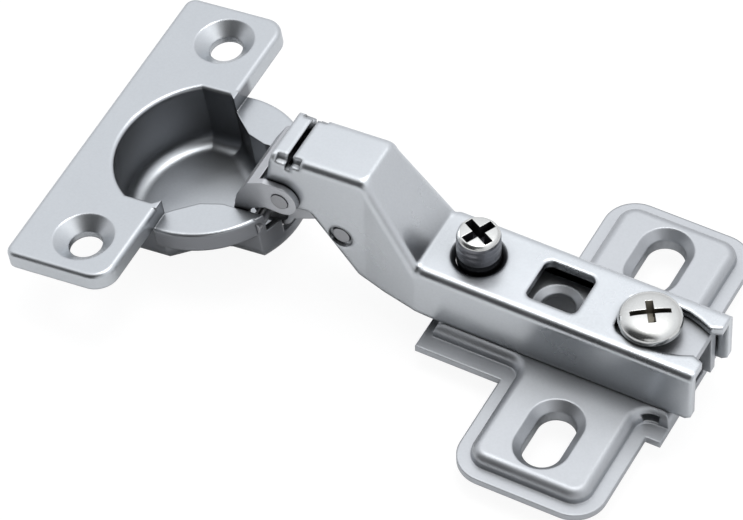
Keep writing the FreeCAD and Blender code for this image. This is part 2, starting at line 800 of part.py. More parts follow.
slot_far = -S.link_slot_shift + (S.link_slot_travel / 2)
slot_near = -S.link_slot_shift - (S.link_slot_travel / 2)
drop = S.link_slot_drop
tip_far = along_slot(slot_far, drop)
tip_near = along_slot(slot_near, drop)


def slot_bar(far, near, half):
    """The straight sides of a round-ended bar between two slot ends."""
    return [
        along_slot(far, drop - half), along_slot(far, drop + half),
        along_slot(near, drop + half), along_slot(near, drop - half)]


arch_top = along_slot(slot_near - 1.2, drop - tip_radius)
arch_low = along_slot(slot_near - 1.2, drop + tip_radius - 1.3)
arch = [
    (rear_x, rear_z + 1.6),
    (rear_x - 4.5, rear_z + 2.4),
    (arch_top[0], arch_top[1]),
    along_slot(slot_near, drop - tip_radius),
    along_slot(slot_near, drop + tip_radius),
    (arch_low[0], arch_low[1]),
    (rear_x - 4.3, rear_z - 0.2),
    (rear_x, rear_z - 1.6),
]
rear_ears = []
for side, word in ((-1, "near"), (1, "far")):
    low = -S.rear_link_half if side < 0 else S.rear_link_half - S.rear_link_gauge
    rear_ears += [
        extrude("rear_link_arch_" + word, outline("rear_link_outline_" + word, "XZ", arch),
                -low, False, low + S.rear_link_gauge),
        extrude("rear_link_tip_" + word,
                outline("rear_link_tip_outline_" + word, "XZ", slot_bar(slot_far, slot_near, tip_radius)),
                -low, False, low + S.rear_link_gauge),
        cylinder("rear_link_eye_" + word, S.rear_link_eye, S.rear_link_gauge, rear_x, low, rear_z, "Y"),
        cylinder("rear_link_far_" + word, tip_radius, S.rear_link_gauge,
                 tip_far[0], low, tip_far[1], "Y"),
        cylinder("rear_link_near_" + word, tip_radius, S.rear_link_gauge,
                 tip_near[0], low, tip_near[1], "Y"),
    ]
bridge = [
    (rear_x - 3.6, rear_z + 2.25),
    (rear_x - 4.5, rear_z + 2.4),
    (arch_top[0], arch_top[1]),
    (arch_top[0], arch_top[1] - 0.9),
    (rear_x - 4.5, rear_z + 1.5),
    (rear_x - 3.6, rear_z + 1.35),
]
rear_bridge = extrude("rear_link_bridge", outline("rear_link_bridge_outline", "XZ", bridge),
                      S.rear_link_half * 2, True)
rear_body = join("rear_link_body", rear_ears + [rear_bridge])
rear_width = S.rear_link_half * 2 + 2
rear_link = cut("rear_link", rear_body, [
    cylinder("rear_link_hole", S.rear_pin_radius + S.running_gap, rear_width,
             rear_x, -S.rear_link_half - 1, rear_z, "Y"),
    extrude("rear_link_slot",
            outline("rear_link_slot_outline", "XZ", slot_bar(slot_far, slot_near, slot_half)),
            rear_width, True),
    cylinder("rear_link_slot_far", slot_half, rear_width,
             tip_far[0], -S.rear_link_half - 1, tip_far[1], "Y"),
    cylinder("rear_link_slot_near", slot_half, rear_width,
             tip_near[0], -S.rear_link_half - 1, tip_near[1], "Y")])
keep("rear_link", rear_link)

# Closing spring
coil_length = S.spring_turns * (S.spring_wire * 2 + 0.12)
coil = doc.addObject("Part::Helix", "spring_path")
bind(coil, "Pitch", S.spring_wire * 2 + 0.12)
bind(coil, "Height", coil_length)
bind(coil, "Radius", S.spring_radius)
wire = doc.addObject("Part::Circle", "spring_section")
bind(wire, "Radius", S.spring_wire)
place(wire, S.spring_radius, 0, 0, FreeCAD.Rotation(FreeCAD.Vector(1, 0, 0), 90))
spring = doc.addObject("Part::Sweep", "closing_spring")
spring.Sections = [wire]
spring.Spine = (coil, [])
spring.Solid = True
spring.Frenet = True
place(spring, rear_x, -coil_length / 2, rear_z, AXES["Y"])
keep("closing_spring", spring)

# Hinge cup
flange_slab = rounded_slab(
    "flange_slab", -S.flange_rear, -S.flange_front, S.flange_half, -S.flange_height, 0,
    S.flange_rear_corner, S.flange_corner)


def flange_top(edge):
    """An edge round the flange's top face."""
    return edge.BoundBox.ZMin > -0.01


flange_soft = rounded("flange_soft", flange_slab, [(0.7, flange_top)])
flange_hollow = rounded_slab(
    "flange_hollow", -S.flange_rear + S.cup_gauge, -S.flange_front - S.cup_gauge,
    S.flange_half - S.cup_gauge, -S.flange_height - SKIN, -S.cup_gauge,
    S.flange_rear_corner - 0.9, S.flange_corner - S.cup_gauge)
cup_drum = cylinder("cup_drum", S.cup_radius, S.cup_depth, 0, 0, -S.cup_depth)
low_half = S.channel_half + S.channel_gauge
low_side = [
    (-S.cup_radius - 1, S.cup_flat + S.cup_gauge),
    (-S.flange_front, S.cup_flat + S.cup_gauge),
    (-S.flange_front + 2.0, low_half + 2.8),
    (-S.flange_front + 4.5, low_half + 0.7),
    (-S.flange_front + 7.0, low_half),
    (S.cup_radius + 1, low_half),
]
low_plan = low_side + [(a, -as_size(b)) for a, b in reversed(low_side)]
cup_low = extrude("cup_low", outline("cup_low_outline", "XY", low_plan), 1, False, S.cup_depth)
cup_core_sharp = shared("cup_core", [cup_drum, cup_low])


def core_floor(edge):
    """An edge round the underside of the cup."""
    return edge.BoundBox.ZMax < -S.cup_depth.value + 0.01


cup_core = rounded("cup_core_soft", cup_core_sharp, [(S.cup_floor_round.value, core_floor)])
front_top = box("cup_front_top", -S.flange_front, S.cup_radius + 1, -S.cup_radius, S.cup_radius,
                -S.shelf_drop, 1)
leaf_side = [
    (-S.flange_front, S.cup_flat - 1.4),
    (-S.flange_front + 1.0, S.channel_half + 2.3),
    (-S.flange_front + 3.6, S.channel_half + 0.2),
    (-S.flange_front + S.shelf_run, S.channel_half - 0.7),
    (S.cup_radius + 1, S.channel_half - 0.7),
    (S.cup_radius + 1, S.cup_radius + 1),
    (-S.flange_front, S.cup_radius + 1),
]
leaves = []
for side, word in ((-1, "near"), (1, "far")):
    plan = leaf_side if side > 0 else [(a, -as_size(b)) for a, b in reversed(leaf_side)]
    leaf_plan = extrude("leaf_plan_" + word, outline("leaf_outline_" + word, "XY", plan),
                        1, False, S.cup_depth)
    leaf_drum = cylinder("leaf_drum_" + word, S.cup_radius, S.shelf_skirt - S.shelf_drop,
                         0, 0, -S.shelf_skirt)
    leaf = shared("leaf_" + word, [leaf_plan, leaf_drum])
    leaves.append(leaf)
cup_core_low = cut("cup_core_low", cup_core, [front_top])


def leaf_rim(edge):
    """The round upper edge of a shelf."""
    top = -S.shelf_drop.value
    return edge.BoundBox.ZMin > top - 0.01 and hasattr(edge.Curve, "Radius")


leaf_soft = [
    rounded("leaf_soft_" + word, leaf, [(S.shelf_round.value, leaf_rim)])
    for leaf, word in zip(leaves, ("near", "far"))]
flange_dishes = [
    cone("flange_dish_" + word, S.flange_hole_radius + S.flange_dish_wall,
         S.flange_hole_rim + S.flange_dish_wall,
         S.flange_height - S.cup_gauge, -S.flange_hole_place, S.flange_hole_pitch / 2 * side,
         -S.flange_height)
    for side, word in ((-1, "near"), (1, "far"))]
cup_outer = join("cup_outer", [flange_soft, cup_core_low] + leaf_soft)

room_side = [
    (-S.cup_radius - 1, S.cup_flat),
    (-S.flange_front - 0.6, S.cup_flat),
    (-S.flange_front + 1.0, S.channel_half + 3.1),
    (-S.flange_front + 3.6, S.channel_half + 0.95),
    (-S.flange_front + S.shelf_run, S.channel_half),
    (S.cup_radius + 1, S.channel_half),
]
room_plan = room_side + [(a, -as_size(b)) for a, b in reversed(room_side)]
room_prism = extrude("cup_room_prism", outline("cup_room_outline", "XY", room_plan),
                     1, False, S.cup_depth - S.cup_gauge)
room_drum = cylinder("cup_room_drum", S.cup_radius - S.cup_gauge,
                     S.cup_depth - S.cup_gauge + 1, 0, 0, -S.cup_depth + S.cup_gauge)


def room_floor(edge):
    """An edge along the floor of the cup's room."""
    low = edge.BoundBox.ZMax < -S.cup_depth.value + S.cup_gauge.value + 0.01
    return low and edge.BoundBox.XLength > 0.01


room_round = S.cup_floor_round.value - S.cup_gauge.value
cup_room = shared("cup_room", [
    rounded("cup_room_prism_soft", room_prism, [(room_round, room_floor)]),
    rounded("cup_room_drum_soft", room_drum, [(room_round, room_floor)])])
flange_under = cut("flange_under", flange_hollow, [
    cylinder("flange_hollow_core", S.cup_radius, S.flange_height + SKIN * 2, 0, 0,
             -S.flange_height - SKIN * 2)] + flange_dishes)
mouth_sharp = cut("cup_mouth_sharp", cup_outer, [cup_room])


def mouth(edge):
    """An edge of the cup's mouth in the flange's top face."""
    if edge.BoundBox.ZMin < -0.01:
        return False
    if hasattr(edge.Curve, "Radius"):
        return abs(edge.Curve.Radius - (S.cup_radius.value - S.cup_gauge.value)) < 0.01
    return abs(abs(edge.CenterOfMass.y) - S.cup_flat.value) < 0.05 and edge.BoundBox.YLength < 0.01


cup_shell = cut("cup_shell", rounded("cup_mouth_soft", mouth_sharp, [
    (S.cup_mouth_round.value, mouth)]), [flange_under])
shelf_low = S.shelf_drop + S.cup_gauge
leaf_hollows = []
for side, word in ((-1, "near"), (1, "far")):
    low = -S.cup_radius if side < 0 else cup_reach
    leaf_room = box(
        "leaf_room_" + word, -S.flange_front + S.shelf_run - 1, S.cup_radius,
        low, low + S.cup_radius - cup_reach, -S.shelf_skirt - 0.01, -shelf_low)
    leaf_core = cylinder("leaf_core_" + word, S.cup_radius - S.cup_gauge, S.shelf_skirt,
                         0, 0, -S.shelf_skirt - 1)
    leaf_hollows.append(shared("leaf_hollow_" + word, [leaf_room, leaf_core]))
front_open = box("cup_front_open", S.cup_radius * 0.6, S.cup_radius + 1, -S.channel_half,
                 S.channel_half, -S.front_wall_drop, 1)
front_notch = box("cup_front_notch", S.cup_radius * 0.6, S.cup_radius + 1, -S.notch_half,
                  S.notch_half, -S.notch_drop, 1)
floor_hole = box("cup_floor_hole", S.floor_hole_rear, S.floor_hole_front, -S.notch_half + 0.3,
                 S.notch_half - 0.3, -S.cup_depth - 1, -S.cup_depth + S.cup_gauge + 1)
cup_cuts = [front_open, front_notch, floor_hole] + leaf_hollows
for word, forward, fall in (
        ("pin", S.cup_radius - S.cup_pin_inset, S.cup_pin_drop),
        ("rivet", S.cup_radius - S.cup_rivet_inset, S.cup_rivet_drop)):
    cup_cuts.append(cylinder(
        "cup_hole_" + word, S.cup_pin_radius, cup_reach * 2, forward, -cup_reach, -fall, "Y"))
for side, word in ((-1, "near"), (1, "far")):
    hole_y = S.flange_hole_pitch / 2 * side
    cup_cuts.append(cylinder(
        "flange_hole_" + word, S.flange_hole_radius, S.flange_height + SKIN * 2,
        -S.flange_hole_place, hole_y, -S.flange_height - SKIN))
    cup_cuts.append(cone(
        "flange_rim_" + word, S.flange_hole_radius, S.flange_hole_rim, S.flange_rim_depth,
        -S.flange_hole_place, hole_y, -S.flange_rim_depth))
hinge_cup = cut("hinge_cup", cup_shell, cup_cuts)
cup_turn = FreeCAD.Rotation(FreeCAD.Vector(0, 1, 0), -S.cup_tilt.value)
place(hinge_cup, -S.cup_place, 0, S.cup_height, cup_turn)
keep("hinge_cup", hinge_cup)

# Check and write
doc.recompute()
for item in doc.Objects:
    if "Invalid" in item.State or "Error" in item.State:
        raise RuntimeError("failed: %s %s" % (item.Name, item.State))
os.makedirs("parts", exist_ok=True)
for solid in NODES:
    shape = solid.Shape
    if shape.isNull() or not shape.isValid() or not shape.Solids:
        raise RuntimeError("bad shape: " + solid.Label)
    shape.exportStep("parts/%s.step" % solid.Label)
    print(solid.Label, len(shape.Solids), round(shape.Volume, 2))
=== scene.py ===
"""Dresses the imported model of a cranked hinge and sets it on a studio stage."""

import math

import bmesh
import bpy
from bpy.props import FloatProperty, FloatVectorProperty, IntProperty, PointerProperty, StringProperty
from mathutils import Matrix, Vector


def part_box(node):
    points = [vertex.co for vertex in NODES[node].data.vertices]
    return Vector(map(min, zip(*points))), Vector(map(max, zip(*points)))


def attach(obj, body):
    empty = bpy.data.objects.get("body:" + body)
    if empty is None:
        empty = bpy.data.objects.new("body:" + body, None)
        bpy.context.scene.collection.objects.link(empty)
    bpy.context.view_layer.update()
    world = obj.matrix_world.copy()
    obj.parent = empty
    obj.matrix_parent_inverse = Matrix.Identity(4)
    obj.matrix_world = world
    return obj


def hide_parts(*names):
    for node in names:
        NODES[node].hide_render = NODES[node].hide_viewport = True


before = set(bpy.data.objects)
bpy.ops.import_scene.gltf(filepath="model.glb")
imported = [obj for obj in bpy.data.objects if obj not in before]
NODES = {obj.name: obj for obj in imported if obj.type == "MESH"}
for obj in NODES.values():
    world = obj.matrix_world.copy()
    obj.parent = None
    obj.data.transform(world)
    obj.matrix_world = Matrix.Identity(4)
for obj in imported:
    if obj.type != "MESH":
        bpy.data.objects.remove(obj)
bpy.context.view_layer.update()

bl_info = {
    "name": "Cranked hinge",
    "version": (1, 0, 0),
    "blender": (4, 5, 0),
    "location": "3D View > Sidebar > Hinge",
    "description": "Finishes, screws and stage for a cranked cup hinge",
    "category": "Object",
}

MM = 0.001
CUP_TILT = math.radians(8.53)
CUP_AXIS = (-math.sin(CUP_TILT), 0.0, math.cos(CUP_TILT))
CUP_CENTRE = (-58.5 * MM, 0.0, 10.84 * MM)
CUP_RADIUS = 13.0 * MM
# Sockets of a colour Mix node, which share their names with those of its other types.
MIX_A, MIX_B, MIX_RESULT = 6, 7, 2
PICTURE_WIDTH = 743.0
SENSOR_WIDTH = 36.0


# Properties

class HingeScrewSizes(bpy.types.PropertyGroup):
    thread_pitch: FloatProperty(
        name="Thread pitch", description="Rise of the adjusting screw's thread per turn",
        default=0.9 * MM, unit="LENGTH")
    thread_depth: FloatProperty(
        name="Thread depth", description="Depth of the adjusting screw's thread",
        default=0.10 * MM, unit="LENGTH")
    long_groove: FloatVectorProperty(
        name="Long groove", description="Length and width of the fixing screw's long groove",
        default=(7.2 * MM, 0.8 * MM), unit="LENGTH", size=2)
    short_groove: FloatVectorProperty(
        name="Short groove", description="Length and width of the fixing screw's short groove",
        default=(4.6 * MM, 1.1 * MM), unit="LENGTH", size=2)
    star_groove: FloatVectorProperty(
        name="Star groove", description="Length and width of the adjusting screw's two grooves",
        default=(4.9 * MM, 1.25 * MM), unit="LENGTH", size=2)
    head_rise: FloatProperty(
        name="Head rise", description="Height of the fixing screw's domed head",
        default=2.1 * MM, unit="LENGTH")
    fixing_turn: FloatProperty(
        name="Recess turn", description="Angle of the fixing screw's recess from the X axis",
        default=math.radians(33.0), subtype="ANGLE")
    adjusting_turn: FloatProperty(
        name="Slot turn", description="Angle of the adjusting screw's slots from the X axis",
        default=math.radians(-27.5), subtype="ANGLE")
    segments: IntProperty(
        name="Segments", description="Steps round each turned surface", default=96, min=24)


class HingeFinish(bpy.types.PropertyGroup):
    arm_hex: StringProperty(
        name="Arm", description="Colour of the arm's satin nickel", default="#D3D7DB")
    cup_hex: StringProperty(
        name="Cup", description="Colour of the cup's satin nickel", default="#CBCFD3")
    # Painted shade: the darker colour given to the cup's steep walls.
    wall_shade_hex: StringProperty(
        name="Cup wall", description="Colour of the cup's stretched steep walls", default="#85878B")
    plate_hex: StringProperty(
        name="Plate", description="Colour of the mounting plate's duller nickel", default="#BBBEC2")
    link_hex: StringProperty(
        name="Link steel", description="Colour of the links' duller steel", default="#CACCD0")
    pin_hex: StringProperty(
        name="Pin steel", description="Colour of the turned pins", default="#A9AAAD")
    screw_hex: StringProperty(
        name="Screw", description="Colour of the screws' bright plate", default="#DCDDDB")
    # Painted shade and a painted yellowish reflection for the fixing screw's recess.
    fixing_recess_shade_hex: StringProperty(
        name="Recess", description="Yellow passivation left in the screw recess", default="#9A968A")
    # Painted shade for the adjusting screw's recess.
    star_recess_shade_hex: StringProperty(
        name="Soot", description="Dark skin in the adjusting screw's recess", default="#56565B")
    # Painted dark reflection on the adjusting screw's thread below its rim.
    thread_shade_hex: StringProperty(
        name="Thread", description="Dark oiled thread of the adjusting screw", default="#77787D")
    spring_hex: StringProperty(
        name="Spring", description="Colour of the drawn spring wire", default="#6E6F73")
    grain: FloatProperty(
        name="Grain", description="Spacing of the blasted sheet's fine grain",
        default=0.35 * MM, unit="LENGTH")
    edge_radius: FloatProperty(
        name="Edge radius", description="Rounding that the eye sees on pressed edges",
        default=0.35 * MM, unit="LENGTH")


class HingeCamera(bpy.types.PropertyGroup):
    place: FloatVectorProperty(
        name="Place", description="Camera position in the part's frame",
        default=(0.19423, -0.40938, 0.56802), unit="LENGTH", size=3)
    azimuth: FloatProperty(
        name="Azimuth", description="Turn of the view about the upright axis",
        default=math.radians(29.137), subtype="ANGLE")
    elevation: FloatProperty(
        name="Elevation", description="Height of the view above level",
        default=math.radians(50.381), subtype="ANGLE")
    roll: FloatProperty(
        name="Roll", description="Lean of the camera about its own axis",
        default=math.radians(-1.819), subtype="ANGLE")
    focal_px: FloatProperty(
        name="Focal length", description="Focal length in widths of a picture element",
        default=5619.653)


class HingeStage(bpy.types.PropertyGroup):
    floor_drop: FloatProperty(
        name="Floor drop", description="Distance of the floor below the plate's back",
        default=2.75 * MM, unit="LENGTH")
    key_power: FloatProperty(
        name="Key light", description="Power of the large soft lamp above", default=1.0, unit="POWER")
    fill_power: FloatProperty(
        name="Fill light", description="Power of the soft lamp in front", default=0.2, unit="POWER")
    world_level: FloatProperty(
        name="Room level", description="Brightness of the room on the object", default=1.6)


# Materials

def linear(hex_text):
    """An sRGB hex value as linear red, green, blue and alpha."""
    values = []
    for start in (1, 3, 5):
        part = int(hex_text[start:start + 2], 16) / 255.0
        values.append(part / 12.92 if part <= 0.04045 else ((part + 0.055) / 1.055) ** 2.4)
    return (values[0], values[1], values[2], 1.0)


def add_node(tree, kind, settings=None, values=None, links=None):
    """Adds a node, sets its options and socket values, and links its inputs."""
    node = tree.nodes.new(kind)
    for name, value in (settings or {}).items():
        setattr(node, name, value)
    for name, value in (values or {}).items():
        node.inputs[name].default_value = value
    for name, socket in (links or {}).items():
        tree.links.new(socket, node.inputs[name])
    return node


def paint_wall_shade(tree, place, sheet, wall_shade_hex):
    """Mixes a darker colour into the pot's steep walls as painted shade."""
    facing = add_node(tree, "ShaderNodeVectorMath", settings={"operation": "DOT_PRODUCT"},
                      links={0: place.outputs["Normal"]})
    facing.inputs[1].default_value = CUP_AXIS
    lean = add_node(tree, "ShaderNodeMath", settings={"operation": "ABSOLUTE"},
                    links={0: facing.outputs["Value"]})
    steep = add_node(tree, "ShaderNodeMapRange", settings={"interpolation_type": "SMOOTHSTEP"},
                     values={"From Min": 0.25, "From Max": 0.85, "To Min": 1.0, "To Max": 0.0},
                     links={"Value": lean.outputs[0]})
    offset = add_node(tree, "ShaderNodeVectorMath", settings={"operation": "SUBTRACT"},
                      links={0: place.outputs["Object"]})
    offset.inputs[1].default_value = CUP_CENTRE
    across = add_node(tree, "ShaderNodeVectorMath", settings={"operation": "CROSS_PRODUCT"},
                      links={0: offset.outputs["Vector"]})
    across.inputs[1].default_value = CUP_AXIS
    reach = add_node(tree, "ShaderNodeVectorMath", settings={"operation": "LENGTH"},
                     links={0: across.outputs["Vector"]})
    inside = add_node(tree, "ShaderNodeMapRange",
                      values={"From Min": CUP_RADIUS + 0.3 * MM, "From Max": CUP_RADIUS + 1.3 * MM,
                              "To Min": 1.0, "To Max": 0.0},
                      links={"Value": reach.outputs["Value"]})
    share = add_node(tree, "ShaderNodeMath", settings={"operation": "MULTIPLY"},
                     links={0: steep.outputs["Result"]})
    tree.links.new(inside.outputs["Result"], share.inputs[1])
    mixed = add_node(tree, "ShaderNodeMix", settings={"data_type": "RGBA"},
                     links={"Factor": share.outputs[0]})
    tree.links.new(sheet, mixed.inputs[MIX_A])
    mixed.inputs[MIX_B].default_value = linear(wall_shade_hex)
    return mixed.outputs[MIX_RESULT]


def metal(name, hex_text, roughness, grain, bump, edge, spread=0.10, shade_distance=7.0 * MM,
          wall_shade_hex=None, darkest_shade=0.22):
    """A metal with a fine grain, uneven gloss, softened edges and painted shade in its hollows."""
    material = bpy.data.materials.new(name)
    material.use_nodes = True
    tree = material.node_tree
    tree.nodes.clear()
    place = add_node(tree, "ShaderNodeTexCoord")
    fine = add_node(tree, "ShaderNodeTexNoise", values={"Scale": 1.0 / grain, "Detail": 3.0},
                    links={"Vector": place.outputs["Object"]})
    broad = add_node(tree, "ShaderNodeTexNoise", values={"Scale": 1.0 / (9.0 * MM), "Detail": 4.0},
                     links={"Vector": place.outputs["Object"]})
    gloss = add_node(
        tree, "ShaderNodeMapRange",
        values={"From Min": 0.3, "From Max": 0.7, "To Min": roughness - spread * 0.5,
                "To Max": roughness + spread * 0.5},
        links={"Value": broad.outputs["Fac"]})
    base = linear(hex_text)
    dull = tuple(part * 0.90 for part in base[:3]) + (1.0,)
    colour = add_node(tree, "ShaderNodeMix", settings={"data_type": "RGBA"},
                      links={"Factor": fine.outputs["Fac"]})
    colour.inputs[MIX_A].default_value = dull
    colour.inputs[MIX_B].default_value = base
    sheet = colour.outputs[MIX_RESULT]
    if wall_shade_hex:
        sheet = paint_wall_shade(tree, place, sheet, wall_shade_hex)
    # Painted shade: the metal's colour is darkened where ambient occlusion finds a deep hollow.
    occlusion_shade = add_node(tree, "ShaderNodeAmbientOcclusion", settings={"samples": 8},
                      values={"Distance": shade_distance})
    depth = add_node(tree, "ShaderNodeMapRange",
                     values={"From Min": 0.25, "From Max": 0.85, "To Min": darkest_shade, "To Max": 1.0},
                     links={"Value": occlusion_shade.outputs["AO"]})
    shaded = add_node(tree, "ShaderNodeVectorMath", settings={"operation": "SCALE"},
                      links={0: sheet, "Scale": depth.outputs["Result"]})
    soft = add_node(tree, "ShaderNodeBevel", settings={"samples": 8}, values={"Radius": edge})
    relief = add_node(tree, "ShaderNodeBump", values={"Strength": bump, "Distance": 0.02 * MM},
                      links={"Height": fine.outputs["Fac"], "Normal": soft.outputs["Normal"]})
    shader = add_node(
        tree, "ShaderNodeBsdfPrincipled", values={"Metallic": 1.0},
        links={"Base Color": shaded.outputs["Vector"], "Roughness": gloss.outputs["Result"],
               "Normal": relief.outputs["Normal"]})
    add_node(tree, "ShaderNodeOutputMaterial", links={"Surface": shader.outputs["BSDF"]})
    return material


def wear(obj, material):
    """Gives an object one material."""
    if not obj.data.materials:
        obj.data.materials.append(material)
    for index in range(len(obj.data.materials)):
        obj.data.materials[index] = material


def finish_named(name, context):
    """The finish of that name, made when it is first asked for."""
    known = bpy.data.materials.get(name)
    if known:
        return known
    look = context.scene.hinge_finish
    edge = look.edge_radius
    if name == "satin_nickel_arm":
        # Nickel plate over a barrelled pressing: even and pale, with wide soft bends that
        # show a bright line and a dark line side by side.
        return metal(name, look.arm_hex, 0.30, look.grain, 0.25, edge * 2.4)
    if name == "satin_nickel_cup_painted_wall_shade":
        # The same plate, with painted shade laid on the pot's steep walls, which look dark.
        return metal(name, look.cup_hex, 0.34, look.grain, 0.25, edge, wall_shade_hex=look.wall_shade_hex)
    if name == "dull_nickel_plate":
        # A plainer plating on the part that is hidden in use: greyer than the arm.
        return metal(name, look.plate_hex, 0.46, look.grain, 0.3, edge, shade_distance=5.0 * MM,
                     darkest_shade=0.85)
    if name == "tumbled_link_steel":
        # Stamped link plates under thin plate: greyer, with a broken gloss.
        return metal(name, look.link_hex, 0.40, look.grain, 0.35, edge * 0.7)
    if name == "turned_pin_steel":
        # Cut pins, in a greyer steel with the fine grain.
        return metal(name, look.pin_hex, 0.32, look.grain, 0.2, edge * 0.5)
    if name == "bright_plated_screw":
        # Rolled and plated screw: sharp, bright highlights.
        return metal(name, look.screw_hex, 0.22, look.grain, 0.15, edge * 0.4, 0.06)
    if name == "star_recess_painted_shade":
        # A deep cut groove, painted dark as painted shade.
        return metal(name, look.star_recess_shade_hex, 0.6, look.grain, 0.3, edge * 0.3, shade_distance=1.5 * MM,
                     darkest_shade=0.5)
    if name == "thread_painted_shade":
        # A rolled thread, painted darker under the bright rim as a painted dark reflection.
        return metal(name, look.thread_shade_hex, 0.3, look.grain, 0.2, edge * 0.3)
    if name == "fixing_recess_painted_shade":
        # Painted shade and a painted yellowish reflection in the recess: dull, dark and yellowish.
        return metal(name, look.fixing_recess_shade_hex, 0.5, look.grain, 0.3, edge * 0.3, shade_distance=1.2 * MM,
                     darkest_shade=0.4)
    if name == "drawn_spring_wire":
        # Drawn wire: dark.
        return metal(name, look.spring_hex, 0.35, look.grain, 0.2, edge * 0.3)
    raise KeyError(name)


# Meshes

def new_object(name, bm, context):
    """Turns mesh data into an object in the scene."""
    mesh = bpy.data.meshes.new(name)
    bmesh.ops.recalc_face_normals(bm, faces=bm.faces)
    bm.to_mesh(mesh)
    bm.free()
    obj = bpy.data.objects.new(name, mesh)
    context.scene.collection.objects.link(obj)
    return obj


def smooth(obj, angle=math.radians(35)):
    """Smooth shading that keeps edges sharper than the angle."""
    for polygon in obj.data.polygons:
        polygon.use_smooth = True
    bm = bmesh.new()
    bm.from_mesh(obj.data)
    for edge in bm.edges:
        if len(edge.link_faces) == 2:
            edge.smooth = edge.calc_face_angle(0.0) < angle
    bm.to_mesh(obj.data)
    bm.free()


def lathe(bm, profile, centre, segments):
    """A closed turned solid from (radius, height) pairs that start and end on the axis."""
    rings = []
    for radius, height in profile:
        if radius < 1e-7:
            rings.append([bm.verts.new((centre.x, centre.y, height))])
            continue
        rings.append([
            bm.verts.new((centre.x + radius * math.cos(math.tau * step / segments),
                          centre.y + radius * math.sin(math.tau * step / segments), height))
            for step in range(segments)])
    for lower, upper in zip(rings, rings[1:]):
        for step in range(segments):
            following = (step + 1) % segments
            corners = [lower[step % len(lower)], lower[following % len(lower)],
                       upper[following % len(upper)], upper[step % len(upper)]]
            unique = []
            for corner in corners:
                if corner not in unique:
                    unique.append(corner)
            if len(unique) > 2:
                bm.faces.new(unique)


def carve(obj, tool):
    """Cuts one object with another and removes the tool."""
    modifier = obj.modifiers.new("recess", "BOOLEAN")
    modifier.operation = "DIFFERENCE"
    modifier.solver = "EXACT"
    modifier.object = tool
    bpy.context.view_layer.update()
    evaluated = obj.evaluated_get(bpy.context.evaluated_depsgraph_get())
    mesh = bpy.data.meshes.new_from_object(evaluated)
    obj.modifiers.remove(modifier)
    old = obj.data
    obj.data = mesh
    bpy.data.meshes.remove(old)
    bpy.data.objects.remove(tool)


def cross_recess(screw, centre, top, depth, grooves, turn, context, taper=1.0):
    """Cuts a cross-shaped recess in a screw's top, one groove after the other."""
    for quarter, (length, width) in zip((0.0, math.pi / 2), grooves):
        bar = bmesh.new()
        bmesh.ops.create_cube(bar, size=1.0)
        for vert in bar.verts:
            low = vert.co.z < 0
            reach = length * (taper if low else 1.0)
            breadth = width * (0.75 if low else 1.0)
            height = top - depth if low else top + depth * 0.5
            vert.co = Vector((vert.co.x * reach, vert.co.y * breadth, height))
        bar.transform(Matrix.Rotation(turn + quarter, 4, "Z"))
        bar.transform(Matrix.Translation(Vector((centre.x, centre.y, 0))))
        carve(screw, new_object("recess_tool", bar, context))
    if not screw.data.vertices:
        raise RuntimeError("the recess left nothing of " + screw.name)


def paint_recess_shade(screw, centre, top, depth, reach, material):
    """Gives the walls and the floor of a recess their own material, which paints shade there."""
    screw.data.materials.append(material)
    for polygon in screw.data.polygons:
        place = polygon.center
        if math.hypot(place.x - centre.x, place.y - centre.y) > reach:
            continue
        if place.z < top - depth * 1.1:
            continue
        if abs(polygon.normal.z) < 0.6 or place.z < top - depth * 0.8:
            polygon.material_index = len(screw.data.materials) - 1


def paint_thread_shade(screw, centre, top, core, material):
    """Gives the thread below a screw's rim its own material, the darker colour of a painted reflection.
    """
    screw.data.materials.append(material)
    for polygon in screw.data.polygons:
        place = polygon.center
        if place.z < top and math.hypot(place.x - centre.x, place.y - centre.y) > core:
            polygon.material_index = len(screw.data.materials) - 1


# Operators

class HINGE_OT_dress_sheet(bpy.types.Operator):
    """Satin nickel on the pressed plate, arm and cup, duller steel on the links and pins"""
    bl_idname = "hinge.dress_sheet"
    bl_label = "Dress the metal parts"

    def execute(self, context):
        finishes = {
            "mounting_plate": "dull_nickel_plate",
            "arm": "satin_nickel_arm",
            "hinge_cup": "satin_nickel_cup_painted_wall_shade",
            "front_link": "tumbled_link_steel",
            "rear_link": "tumbled_link_steel",
            "arm_pin_front": "turned_pin_steel",
            "arm_pin_rear": "turned_pin_steel",
            "cup_pin": "turned_pin_steel",
            "cup_rivets": "turned_pin_steel",
            "closing_spring": "drawn_spring_wire",
        }
        for node, finish in finishes.items():
            wear(NODES[node], finish_named(finish, context))
        return {"FINISHED"}


